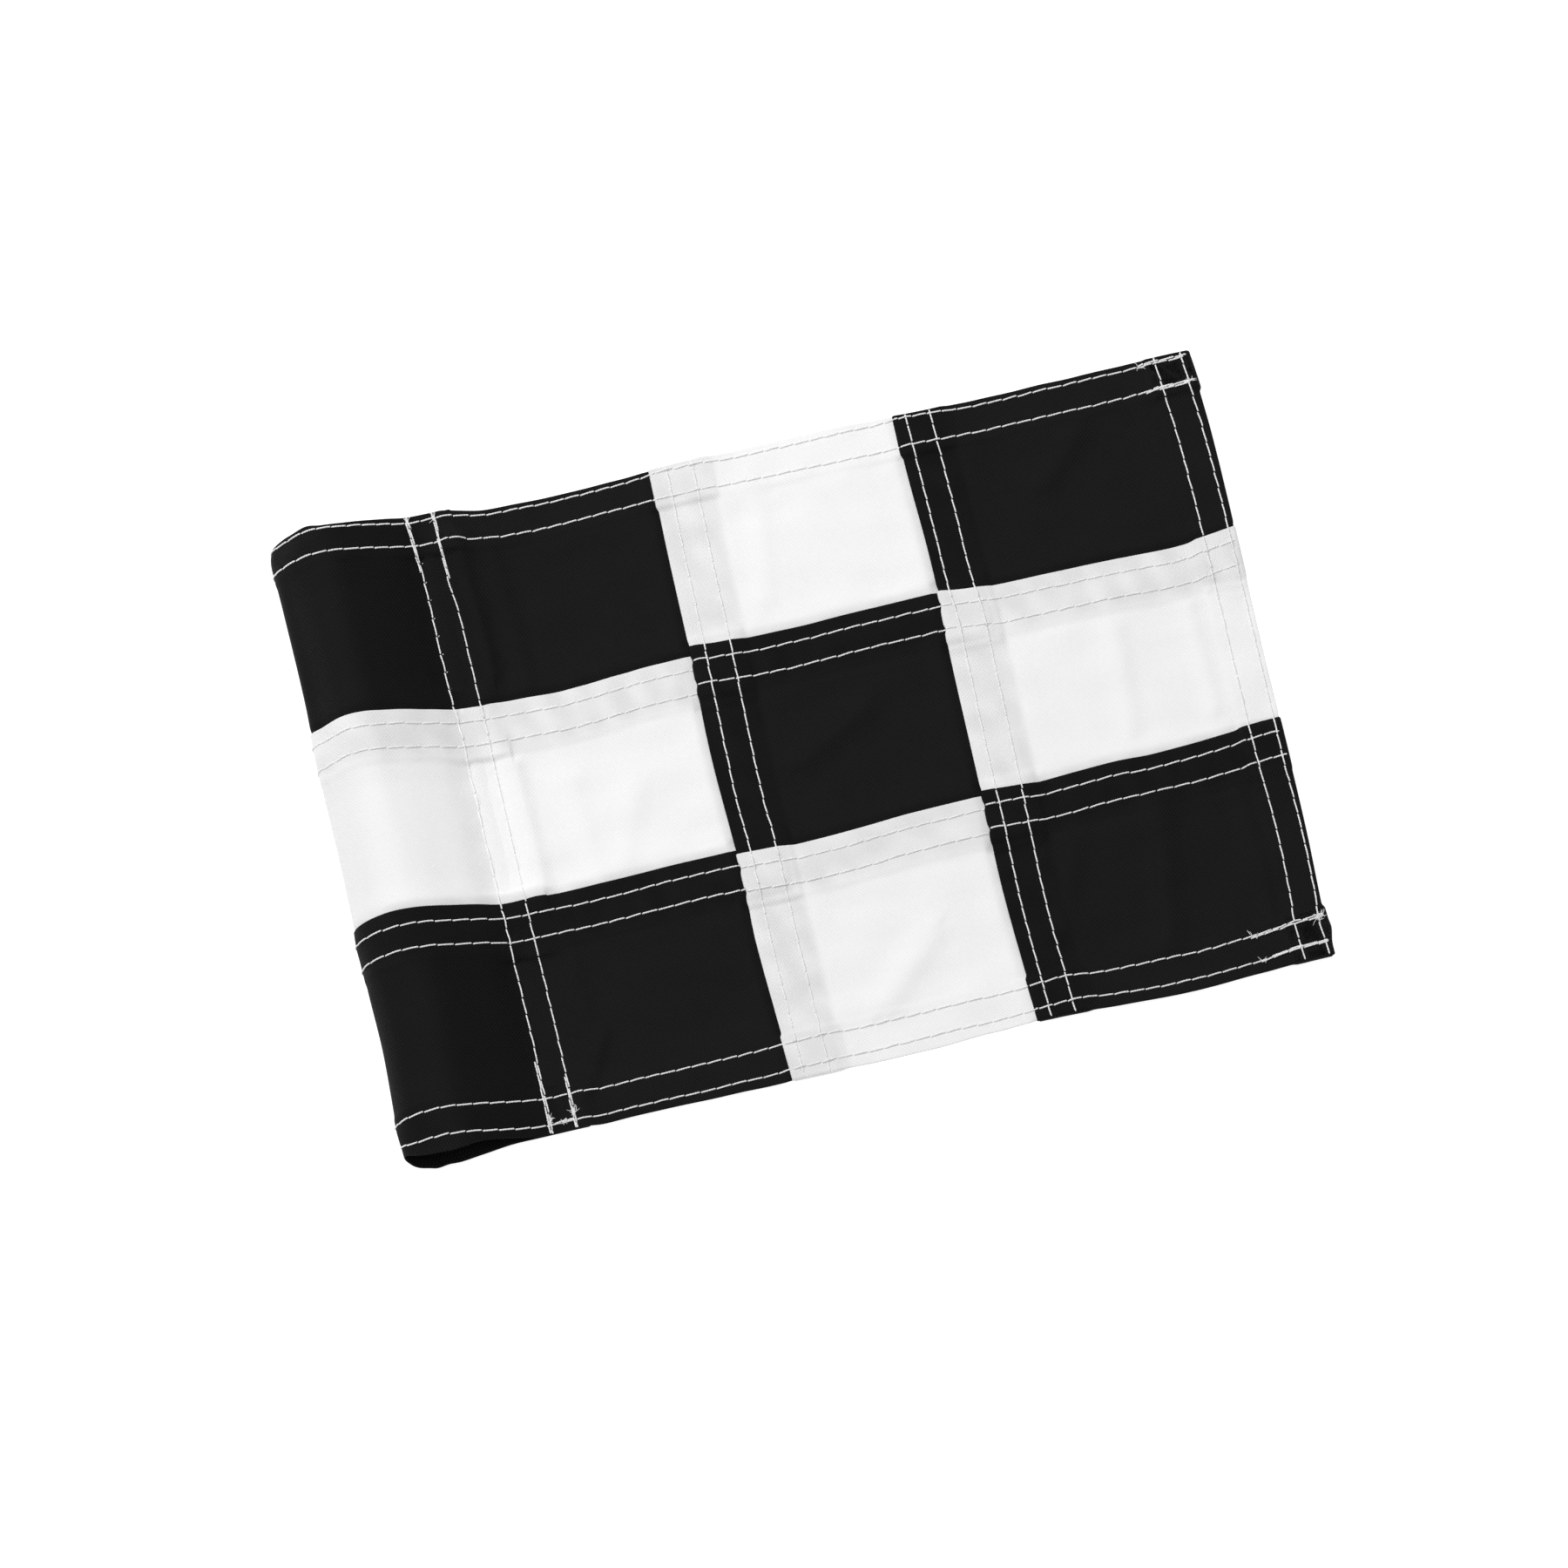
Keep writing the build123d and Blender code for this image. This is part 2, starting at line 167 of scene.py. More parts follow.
# Creases in the fields: both ends, height, and half widths to the left and the right
CREASES = (
    ((44.4, 60), (44.1, 91), 1.05, 5.0, 2.0), ((44.0, 114), (43.4, 147), 1.50, 3.0, 1.8),
    ((51.2, 110), (50.2, 148), 0.75, 2.6, 2.0), ((47.4, 18), (46.8, 54), 0.60, 3.0, 2.4),
    ((44.0, 9), (50.5, 22), 0.70, 2.4, 1.7), ((57.5, 60), (56.0, 84), 0.40, 3.2, 2.6),
    ((185.6, 46), (181.0, 12), 1.20, 4.0, 2.6), ((178.0, 130), (188.0, 140), 0.90, 3.6, 2.8),
    ((110.0, 76), (126.0, 86), 0.85, 4.0, 3.0), ((115.0, 13), (129.0, 27), 0.95, 4.4, 3.2),
    ((184.0, 66), (185.0, 90), 0.60, 3.4, 2.6), ((64.0, 62), (70.0, 78), 0.40, 3.4, 2.8),
    ((158.0, 20), (166.0, 42), 0.50, 3.4, 2.8), ((109.0, 118), (112.0, 140), 0.45, 3.2, 2.6),
    ((203.5, 66), (203.0, 92), 0.50, 2.6, 1.8), ((205.0, 12), (204.0, 44), 0.45, 2.6, 1.8),
)


# Smooth helpers

def smooth_step(x):
    x = np.clip(x, 0, 1)
    return x * x * (3 - 2 * x)


def band(x, low, high, soft):
    """1 from low to high, and falling smoothly to 0 over `soft` on each side."""
    return smooth_step((x - low) / soft + 1) * smooth_step((high - x) / soft + 1)


def spline(knots, values, at):
    """Smooth curve through values at the knots; a value may be an array of the shape of `at`."""
    at = np.asarray(at, float)
    knots = np.asarray(knots, float)
    at = np.clip(at, knots[0], knots[-1])
    values = np.stack([np.broadcast_to(value, at.shape) for value in values])
    spans = np.diff(knots)
    shape = (-1,) + (1,) * at.ndim
    steps = np.diff(values, axis=0) / spans.reshape(shape)
    inside = (values[2:] - values[:-2]) / (knots[2:] - knots[:-2]).reshape(shape)
    slopes = np.concatenate([steps[:1], inside, steps[-1:]])
    cell = np.clip(np.searchsorted(knots, at, side="right") - 1, 0, len(spans) - 1)
    width = spans[cell]
    x = (at - knots[cell]) / width

    def pick(table, shift):
        return np.take_along_axis(table, (cell + shift)[None], 0)[0]

    return (pick(values, 0) * (1 + 2 * x) * (1 - x) ** 2 + pick(slopes, 0) * width * x * (1 - x) ** 2
            + pick(values, 1) * x * x * (3 - 2 * x) + pick(slopes, 1) * width * x * x * (x - 1))


def stray(table, at):
    knots, values = zip(*table)
    return spline(knots, values, at)


def spread(lines, place, along):
    """Offset at a place between lines, each with its own table of offsets along it."""
    knots = np.array([line for line, _ in lines], float)
    offsets = np.stack([np.broadcast_to(stray(table, along), place.shape) for _, table in lines])
    inside = np.clip(place, knots[0], knots[-1])
    cell = np.clip(np.searchsorted(knots, inside, side="right") - 1, 0, len(knots) - 2)
    part = (inside - knots[cell]) / (knots[cell + 1] - knots[cell])
    low = np.take_along_axis(offsets, cell[None], 0)[0]
    high = np.take_along_axis(offsets, cell[None] + 1, 0)[0]
    return low + (high - low) * part


def shifted(table, amount):
    return tuple((place, offset + amount) for place, offset in table)


def waves(count, shortest, longest):
    """A seeded sum of plane waves about -1 to 1, as a function of two coordinates."""
    angles = random.uniform(0, math.tau, count)
    lengths = random.uniform(shortest, longest, count)
    phases = random.uniform(0, math.tau, count)

    def height(x, y):
        total = 0
        for angle, length, phase in zip(angles, lengths, phases):
            total = total + np.sin(math.tau * (x * math.cos(angle) + y * math.sin(angle)) / length + phase)
        return total / math.sqrt(count)

    return height


# Where the seams are

NONE = ((0, 0), (1, 0))
X_LINES = (
    (-30, NONE), (-14, SLEEVE_SIDE), (2, SLEEVE_SIDE), (20, NONE), (SLEEVE_ROWS[0], SLEEVE_FIRST),
    (SLEEVE_ROWS[1], SLEEVE_SECOND), (60, NONE), (COLUMN_FOLDS[0], FOLD_1),
    (COLUMN_FOLDS[0] + MARGIN, ROWS_1), (COLUMN_FOLDS[0] + LAP, ROWS_1), (COLUMN_FOLDS[1], FOLD_2),
    (COLUMN_FOLDS[1] + MARGIN, ROWS_2), (COLUMN_FOLDS[1] + LAP - MARGIN, ROWS_2_SECOND),
    (FLY_HEM + HEM_TURN, FLY_INNER), (LENGTH - HEM_MARGINS["fly"], FLY_OUTER), (LENGTH, FLY_EDGE),
)


def y_lines(column):
    lines = [(0, BOTTOM_EDGE), (HEM_MARGINS["bottom"], BOTTOM_OUTER),
             (HEM_MARGINS["bottom"] + GAUGE, BOTTOM_INNER), (BOTTOM_HEM, BOTTOM_INNER)]
    for seam, (fold, table) in enumerate(zip(ROW_FOLDS[column], ROW_LINES[column])):
        rows_line = shifted(table, ROW_SHIFTS[column][seam])
        fold_line = shifted(table, FOLD_SHIFTS[column][seam])
        lines += [(fold - LAP, rows_line), (fold - MARGIN, rows_line), (fold, fold_line)]
    lines += [(TOP_HEM, TOP_INNER), (HEIGHT - HEM_MARGINS["top"] - GAUGE, TOP_INNER),
              (HEIGHT - HEM_MARGINS["top"], TOP_OUTER), (HEIGHT, TOP_EDGE)]
    return lines


Y_LINES = [y_lines(column) for column in range(3)]


def column_zone(q):
    """1 where columns lap or the fly is hemmed."""
    zone = band(q, FLY_HEM, LENGTH + 9, 1.5)
    for fold in COLUMN_FOLDS:
        zone = zone + band(q, fold - 0.6, fold + LAP + 0.6, 1.5)
    return zone


def lap_zone(y):
    """1 where the rows of any column lap."""
    zone = 0
    for seam in range(2):
        folds = [ROW_FOLDS[column][seam] for column in range(3)]
        zone = zone + band(y, min(folds) - LAP - 1.2, max(folds) + 1.2, 1.5)
    return zone


def hem_zone(r):
    return band(r, -9, BOTTOM_HEM, 1.2) + band(r, TOP_HEM, HEIGHT + 9, 1.2)


class Row:
    """A row of stitches: along r when `upright`, else along q on one column, or on all of them."""

    def __init__(self, name, upright, at, pitch, column=None):
        self.name = name
        self.upright = upright
        self.at = at
        self.pitch = pitch
        self.column = column
        self.phase = random.uniform(0, pitch)
        self.pucker = waves(4, 6, 16)


def all_rows():
    """Every row in the order it is sewn."""
    rows = []
    for column, column_name in enumerate(COLUMNS):
        for seam, seam_name in enumerate(SEAMS):
            first = ROW_FOLDS[column][seam] - MARGIN
            for number, at in enumerate((first, first - GAUGE), start=1):
                name = f"{column_name}_{seam_name}_seam_row_{number}"
                rows.append(Row(name, False, at, PITCHES["row"], column))
    for fold, name in zip(COLUMN_FOLDS, ("hoist_centre", "centre_fly")):
        for number, at in enumerate((fold + MARGIN, fold + LAP - MARGIN), start=1):
            rows.append(Row(f"{name}_seam_row_{number}", True, at, PITCHES["column"]))
    first = LENGTH - HEM_MARGINS["fly"]
    for number, at in enumerate((first, first - GAUGE), start=1):
        rows.append(Row(f"fly_hem_row_{number}", True, at, PITCHES["fly"]))
    first = HEIGHT - HEM_MARGINS["top"]
    for number, at in enumerate((first, first - GAUGE), start=1):
        rows.append(Row(f"top_hem_row_{number}", False, at, PITCHES["hem"]))
    first = HEM_MARGINS["bottom"]
    for number, at in enumerate((first, first + GAUGE), start=1):
        rows.append(Row(f"bottom_hem_row_{number}", False, at, PITCHES["hem"]))
    for number, at in enumerate(SLEEVE_ROWS, start=1):
        rows.append(Row(f"sleeve_seam_row_{number}", True, at, PITCHES["sleeve"]))
    return rows


STITCH_ROWS = all_rows()
swell = waves(7, 28, 75)
crumple = waves(9, 9, 24)
patches = waves(6, 6, 15)


# The cloth's middle surface before its layers are stacked

def sleeve_height(table, y):
    return spline(UPWARD, table, y)


def stack_height(y):
    """From one wrapped layer to the next where the sleeve is sewn shut."""
    hems = band(y, -9, BOTTOM_HEM, 1.5) + band(y, TOP_HEM, HEIGHT + 9, 1.5)
    return LEVEL * (1 + 2 * np.minimum(lap_zone(y) + hems, 1))


def profile(q, y):
    """Place across the flag and height over the table, of the cloth that wraps round the sleeve."""
    lift_1 = sleeve_height(SEAM_LIFT_1, y)
    lift_2 = sleeve_height(SEAM_LIFT_2, y)
    stack = stack_height(y)
    side = sleeve_height(SIDE_HEIGHT, y)
    knots = [-(SLEEVE_END + BACK_SHIFT), -(SLEEVE_ROWS[1] + BACK_SHIFT), -(SLEEVE_ROWS[0] + BACK_SHIFT),
             -28, -18, -11, -7, -3]
    places = [SLEEVE_END, SLEEVE_ROWS[1], SLEEVE_ROWS[0], 22, 12, 4.6, 1.3, 0]
    heights = [lift_2, lift_2, lift_1, 0.25 * lift_1, 0, 0, 0.3 * side, side]
    for place, table in zip(ACROSS, STANDING):
        knots.append(place)
        places.append(place)
        heights.append(sleeve_height(table, y))
    for place, lift in zip((*SLEEVE_ROWS, SLEEVE_END - 0.4), (lift_1, lift_2, lift_2)):
        knots.append(place)
        places.append(place)
        heights.append(lift + 2 * stack)
    for place, table in zip(BESIDE, BESIDE_LIFT):
        knots.append(place)
        places.append(place)
        heights.append(sleeve_height(table, y))
    knots += [68, 230]
    places += [68, 230]
    heights += [0, 0]
    return spline(knots, places, q), spline(knots, heights, q)


LAP_BANDS = ((45.5, 58), (96, 108.5))    # where the ground is raised along the row seams


def seam_bands(q, y, inset, soft):
    """Where the upright seams, the laps along the flag and its hems lie: 1 there, fading beside them."""
    columns = (band(q, COLUMN_FOLDS[0], COLUMN_FOLDS[0] + LAP - inset, soft)
               + band(q, COLUMN_FOLDS[1], COLUMN_FOLDS[1] + LAP - inset, soft)
               + band(q, FLY_HEM, LENGTH + 9, soft))
    laps = sum(band(y, low + 0.6 * inset, high, soft) for low, high in LAP_BANDS)
    hems = band(y, -9, BOTTOM_HEM, soft) + band(y, TOP_HEM, HEIGHT + 9, soft)
    return columns, laps, hems


LEAST_HEIGHT = 0.80         # of the cloth's middle over the table, in the fields
LAYER_RISE = 0.55           # how much more where a seam or a hem lies
CROSSING_STACK = 0.50       # and how much more again where two of them cross
BILLOW = 0.26


def ground(q, y):
    """How high the cloth's middle lies: lowest in the fields, and higher where more layers are sewn."""
    near_columns, near_laps, _ = seam_bands(q, y, 3, 2.6)
    columns, laps, hems = seam_bands(q, y, 0, 8)
    height = LEAST_HEIGHT + LAYER_RISE * (1 - (1 - columns) * (1 - laps - hems))
    height = height + CROSSING_STACK * (near_columns * near_laps + columns * hems)
    open_field = smooth_step((q - 44) / 14)
    billow = (1 + swell(q, y)) * BILLOW * (1 - 0.55 * np.maximum(columns, laps + hems))
    return height + open_field * np.maximum(billow, 0)


def creases(q, y):
    height = 0
    for low, high, rise, left, right in CREASES:
        run = np.subtract(high, low)
        part = np.clip(((q - low[0]) * run[0] + (y - low[1]) * run[1]) / (run @ run), 0, 1)
        off_q = q - low[0] - part * run[0]
        off_y = y - low[1] - part * run[1]
        width = np.where(off_q * run[1] > off_y * run[0], right, left)
        height = height + rise * np.exp(-(np.hypot(off_q, off_y) / width) ** 2)
    return height


def pinch(column, q, r):
    """How far a row's thread, wrapped over a column's folded edge, pulls that edge in."""
    if column == 0:
        return 0.0
    pulled = 0.0
    for fold in ROW_FOLDS[column]:
        for row in (fold - MARGIN, fold - LAP + MARGIN):
            pulled = pulled + np.exp(-((r - row) / 0.9) ** 2)
    return 0.35 * pulled * np.exp(-((q - COLUMN_FOLDS[column - 1]) / 2) ** 2)


def dents(column, q, r):
    """Groove under each row of stitches, deepest at the needle holes, and the puckers beside it."""
    depth = 0
    for row in STITCH_ROWS:
        if row.column not in (None, column):
            continue
        across, along = (q, r) if row.upright else (r, q)
        away = across - row.at
        groove = 0.04 + 0.04 * np.cos(math.tau * (along - row.phase) / row.pitch)
        depth = depth - groove * np.exp(-(away / 0.55) ** 2)
        depth = depth + 0.13 * row.pucker(along, away * 0.4) * np.exp(-(away / 3.4) ** 2)
    return np.maximum(depth, -0.25)


def middle(column, q, r):
    """The middle surface on the table, dents left out."""
    y = r + spread(Y_LINES[column], r, q)
    past_end = -(SLEEVE_END + BACK_SHIFT) - q
    on_back = np.clip(past_end - TURN, 0, None) - (SLEEVE_END + BACK_SHIFT)
    q_flat = np.where(past_end > 0, on_back, q)
    x, z = profile(q_flat, y)
    x = x + spread(X_LINES, q_flat, y) + pinch(column, q, r)
    turn = np.pi * np.clip(past_end / TURN, 0, 1)
    half = stack_height(y) / 2
    z = z + ground(np.maximum(q_flat, 0), y) + half * (1 - np.cos(turn))
    x = x + half * np.sin(turn)
    field = band(q_flat, 47, LENGTH, 8) * (1 - 0.5 * np.minimum(lap_zone(y) + hem_zone(r), 1))
    z = z + np.maximum(0.15 * crumple(q_flat, y), -0.2) * field + creases(q_flat, y)
    return np.stack([x, y, z], -1)


def unit(vectors):
    return vectors / np.linalg.norm(vectors, axis=-1, keepdims=True)


def surface(column, q, r):
    """Point, normal, and directions along q and r, of the middle surface."""
    q, r = np.broadcast_arrays(np.asarray(q, float), np.asarray(r, float))
    tiny = 0.05
    along = unit(middle(column, q + tiny, r) - middle(column, q - tiny, r))
    up = unit(middle(column, q, r + tiny) - middle(column, q, r - tiny))
    normal = unit(np.cross(along, up))
    point = middle(column, q, r) + dents(column, q, r)[..., None] * normal
    return point, normal, along, up


def thick_q(y):
    """Step between the layers that the column seams stack."""
    return LEVEL * (1 + 2 * lap_zone(y))


def thick_r(q, r):
    """Step between the layers that the row seams and hems stack."""
    return LEVEL * (1 + 2 * np.minimum(column_zone(q), 1) * hem_zone(r))


def level_q(column, q):
    """Layer of a column's cloth, in steps from the middle of the seam, ignoring what is turned in."""
    level = 0 * q
    if column > 0:
        fold = COLUMN_FOLDS[column - 1]
        level = level + 1 - smooth_step((q - fold - LAP + 0.6) / 1.8)
    if column < 2:
        level = level - smooth_step((q - COLUMN_FOLDS[column] + 2.2) / 1.8)
    else:
        level = level + smooth_step((q - FLY_HEM + 1.2) / 1.6)
    return level


def level_r(column, row, r):
    level = 0 * r
    if row > 0:
        level = level - 1 + smooth_step((r - ROW_FOLDS[column][row - 1] - 0.4) / 1.8)
    else:
        level = level + 1 - smooth_step((r - BOTTOM_HEM + 0.4) / 1.6)
    if row < 2:
        level = level + smooth_step((r - ROW_FOLDS[column][row] + LAP + 1.2) / 1.8)
    else:
        level = level + smooth_step((r - TOP_HEM + 1.2) / 1.6)
    return level


# Stations across a panel: place, layer, reach beyond the place, and how far the cloth has turned over

def runs(*parts):
    """Places along stretches given as (start, end, step)."""
    places = []
    for start, end, step in parts:
        count = max(1, math.ceil(abs(end - start) / step))
        places += list(np.linspace(start, end, count, endpoint=False))
    places.append(parts[-1][1])
    return np.array(places)


def station_table(places, level, reach=0.0, turned=0.0):
    places = np.asarray(places, float)
    columns = [places, np.broadcast_to(level, places.shape), np.broadcast_to(reach, places.shape),
               np.broadcast_to(turned, places.shape)]
    return np.stack(columns, -1)


def lap_end(edge, outward, above):
    """Folded end of a lap, from the layer that shows to the end of the cloth turned in."""
    angle = np.linspace(0, math.pi, 7)[1:-1]
    side = 1 if above else -1
    place = edge - outward * 0.1
    arc = station_table(np.full(angle.shape, place), side * (0.5 + 0.5 * np.cos(angle)),
                        0.5 * outward * np.sin(angle), side * outward * angle)
    inside = station_table(runs((place, edge - outward * RETURN, 0.6)), 0, 0, side * outward * math.pi)
    return np.concatenate([arc, inside])


def hem_end(edge, inner, outward):
    """The hem beyond the face: round the edge, back along the back, and its raw end turned in."""
    angle = np.linspace(0, math.pi, 9)[1:-1]
    place = edge - outward * EDGE
    outer_arc = station_table(np.full(angle.shape, place), np.cos(angle), outward * np.sin(angle),
                              outward * angle)
    back = station_table(runs((place, inner, 0.5)), -1, 0, outward * math.pi)
    angle = np.linspace(math.pi, math.tau, 7)[1:-1]
    inner_arc = station_table(np.full(angle.shape, inner), -0.5 + 0.5 * np.cos(angle),
                              outward * 0.5 * np.sin(angle), outward * angle)
    inside = station_table(runs((inner, inner + outward * RETURN, 0.6)), 0, 0, outward * math.tau)
    return np.concatenate([outer_arc, back, inner_arc, inside])


FINE = 0.42
COARSE = 0.72


def q_stations(column):
    if column == 0:
        fold = COLUMN_FOLDS[0]
        tail = -(SLEEVE_END + BACK_SHIFT)
        places = runs((tail - TURN - SLEEVE_RETURN, tail - TURN, 0.7), (tail - TURN, tail, 0.1),
                      (tail, -36, FINE), (-36, -14, 0.9), (-14, 3, 0.5), (3, 30, 0.65), (30, 45.2, FINE),
                      (45.2, fold - 3, COARSE), (fold - 3, fold + LAP - 0.1, 0.5))
        main = station_table(places, level_q(0, places))
        return np.concatenate([main, lap_end(fold + LAP, 1, False)])
    fold = COLUMN_FOLDS[column - 1]
    start = lap_end(fold, -1, True)[::-1]
    if column == 1:
        far = COLUMN_FOLDS[1]
        places = runs((fold + 0.1, fold + LAP + 2, FINE), (fold + LAP + 2, far - 3, COARSE),
                      (far - 3, far + LAP - 0.1, 0.5))
        end = lap_end(far + LAP, 1, False)
    else:
        places = runs((fold + 0.1, fold + LAP + 2, FINE), (fold + LAP + 2, FLY_HEM - 2, COARSE),
                      (FLY_HEM - 2, LENGTH - EDGE, FINE))
        end = hem_end(LENGTH, FLY_HEM, 1)
    return np.concatenate([start, station_table(places, level_q(column, places)), end])


def r_stations(column, row):
    folds = ROW_FOLDS[column]
    if row == 0:
        start = hem_end(0, BOTTOM_HEM, -1)[::-1]
        low = runs((EDGE, BOTTOM_HEM + 2, FINE))
        low_end = BOTTOM_HEM + 2
    else:
        edge = folds[row - 1] - LAP
        start = lap_end(edge, -1, False)[::-1]
        low_end = folds[row - 1] + 3
        low = runs((edge + 0.1, folds[row - 1], 0.5), (folds[row - 1], low_end, FINE))
    if row == 2:
        high_start = TOP_HEM - 2
        high = runs((high_start, HEIGHT - EDGE, FINE))
        end = hem_end(HEIGHT, TOP_HEM, 1)
    else:
        high_start = folds[row] - LAP - 2
        high = runs((high_start, folds[row] - 0.1, FINE))
        end = lap_end(folds[row], 1, True)
    field = runs((low_end, high_start, COARSE))
    places = np.concatenate([low[:-1], field[:-1], high])
    return np.concatenate([start, station_table(places, level_r(column, row, places)), end])


def panel_sheet(column, row):
    """Middle of a panel's cloth as a grid, its UV, and how far its colour is the darker one, for lined cloth
    and painted shade.
    """
    across = q_stations(column)
    upward = r_stations(column, row)
    q, n_q, t_q, turn_q = [values[None, :] for values in across.T]
    r, n_r, t_r, turn_r = [values[:, None] for values in upward.T]
    point, normal, along, up = surface(column, q, r)
    hem = hem_zone(r)
    is_hem = (hem > 0.5).astype(float)
    step_q = np.broadcast_to(thick_q(point[..., 1]), point.shape[:2])
    step_r = np.broadcast_to(thick_r(q, r), point.shape[:2])
    turn_over = turn_r * is_hem
    normal_r = np.cos(turn_over)[..., None] * normal + np.sin(turn_over)[..., None] * up
    normal_q = np.cos(turn_q)[..., None] * normal + np.sin(turn_q)[..., None] * along
    place = (point + (step_q * n_q)[..., None] * normal_r + (REACH * t_q)[..., None] * along
             + (step_r * n_r)[..., None] * normal_q + (REACH * t_r)[..., None] * up)
    width = np.linalg.norm(np.diff(place, axis=1), axis=-1).mean(0)
    length = np.linalg.norm(np.diff(place, axis=0), axis=-1).mean(1)
    u = np.concatenate([[0], np.cumsum(width)])
    v = np.concatenate([[0], np.cumsum(length)])
    uv = np.stack(np.meshgrid(u + 7.3 * column, v + 4.1 * row), -1)
    return place, uv, lining_and_shade(column, row, q, r)


def lining_and_shade(column, row, q, r):
    """1 over a seam's lap, fading beside it and patchy, as painted shade, though on white cloth the lap's
    darkness is partly the black behind it; also painted shade on the sleeve's sides.
    """
    dark = np.zeros(np.broadcast_shapes(q.shape, r.shape))
    if column > 0:
        fold = COLUMN_FOLDS[column - 1]
        dark = np.maximum(dark, band(q, fold - 9, fold + LAP - 1, 3))
    if column < 2:
        fold = COLUMN_FOLDS[column]
        dark = np.maximum(dark, band(q, fold, fold + LAP + 9, 3))
    if row > 0:
        fold = ROW_FOLDS[column][row - 1]
        dark = np.maximum(dark, band(r, fold - LAP - 9, fold, 3))
    if row < 2:
        fold = ROW_FOLDS[column][row]
        dark = np.maximum(dark, band(r, fold - LAP + 2.6, fold + 9, 4.5))
    # Patchy, like the shade of puckers along a lap: painted shade.
    dark = dark * np.clip(0.78 + 0.22 * patches(q, r), 0, 1)
    if column > 0:
        return dark
    # Painted shade on the sleeve: its left side on every hoist panel, and its right slope on the black ones.
    sleeve = 0.62 * band(q, -10, 4, 8)
    if row != 1:
        sleeve = np.maximum(sleeve, band(q, 18, 33, 7))
    return np.maximum(dark, sleeve)


# Meshes

def grid_faces(rows, columns):
    first = (np.arange(rows - 1)[:, None] * columns + np.arange(columns - 1)[None, :]).ravel()
    return np.stack([first, first + 1, first + 1 + columns, first + columns], -1)


def new_mesh(name, points, faces, corner_uv, uv_name, material):
    """A smooth-shaded mesh object from points in the flag's millimetres and faces of one size."""
    mesh = bpy.data.meshes.new(name)
    placed = (points - np.array([LENGTH / 2, HEIGHT / 2, 0])) * MM
    sides = faces.shape[1]
    mesh.vertices.add(len(placed))
    mesh.vertices.foreach_set("co", placed.astype(np.float32).ravel())
    mesh.loops.add(faces.size)
    mesh.loops.foreach_set("vertex_index", faces.astype(np.int32).ravel())
    mesh.polygons.add(len(faces))
    mesh.polygons.foreach_set("loop_start", np.arange(0, faces.size, sides, dtype=np.int32))
    mesh.polygons.foreach_set("use_smooth", np.ones(len(faces), bool))
    mesh.update(calc_edges=True)
    layer = mesh.uv_layers.new(name=uv_name)
    layer.data.foreach_set("uv", corner_uv.astype(np.float32).ravel())
    mesh.materials.append(material)
    piece = bpy.data.objects.new(name, mesh)
    bpy.context.collection.objects.link(piece)
    return piece


def grid_normals(place):
    return unit(np.cross(np.gradient(place, axis=1), np.gradient(place, axis=0)))


def cloth_piece(name, column, row, material):
    """A closed sheet: front, back and rim."""
    place, uv, dark = panel_sheet(column, row)
    rows, columns = place.shape[:2]
    normal = grid_normals(place)
    front = (place + normal * CLOTH / 2).reshape(-1, 3)
    back = (place - normal * CLOTH / 2).reshape(-1, 3)
    face = grid_faces(rows, columns)
    count = rows * columns
    index = np.arange(count).reshape(rows, columns)
    loop = np.concatenate([index[0, :-1], index[:-1, -1], index[-1, :0:-1], index[:0:-1, 0]])
    after = np.roll(loop, -1)
    rim = np.stack([loop, loop + count, after + count, after], -1)
    faces = np.concatenate([face, face[:, ::-1] + count, rim])
    flat_uv = np.concatenate([uv.reshape(-1, 2)] * 2)
    piece = new_mesh(name, np.concatenate([front, back]), faces, flat_uv[faces.ravel()], "cloth", material)
    layer = piece.data.attributes.new("lining_and_shade", "FLOAT", "POINT")
    layer.data.foreach_set("value", np.concatenate([dark.ravel()] * 2).astype(np.float32))
    return piece


def tubes(centres, radii, normals):
    """Closed tubes along many lines at once: centres are (lines, points, 3)."""
    sides = THREAD_SIDES
    lines, points = centres.shape[:2]
    tangent = unit(np.gradient(centres, axis=1))
    side = unit(np.cross(normals, tangent))
    top = np.cross(tangent, side)
    angle = np.arange(sides) * math.tau / sides
    ring = np.cos(angle)[:, None] * top[:, :, None] + np.sin(angle)[:, None] * side[:, :, None]
    shell = centres[:, :, None] + radii[..., None, None] * ring
    start = np.arange(lines)[:, None, None] * points * sides
    cell = start + np.arange(points - 1)[:, None] * sides
    here = np.arange(sides)
    following = np.roll(here, -1)
    quads = np.stack([cell + here, cell + here + sides, cell + following + sides, cell + following], -1)
    quads = np.broadcast_to(quads, (lines, points - 1, sides, 4)).reshape(-1, 4)
    caps = []
    for ring_start in (0, (points - 1) * sides):
        order = np.array([[0, 1, 2, 3], [0, 3, 4, 5]])
        if ring_start:
            order = order[:, ::-1]
        caps.append((start[:, :, 0] + ring_start)[:, :, None] + order)
    quads = np.concatenate([quads, *[cap.reshape(-1, 4) for cap in caps]])
    reach = np.concatenate([np.zeros((lines, 1)), np.cumsum(
        np.linalg.norm(np.diff(centres, axis=1), axis=-1), axis=1)], 1)
    uv = np.stack(np.broadcast_arrays(reach[..., None], here * 0.12), -1)
    return shell.reshape(-1, 3), quads, uv.reshape(-1, 2)


# Thread

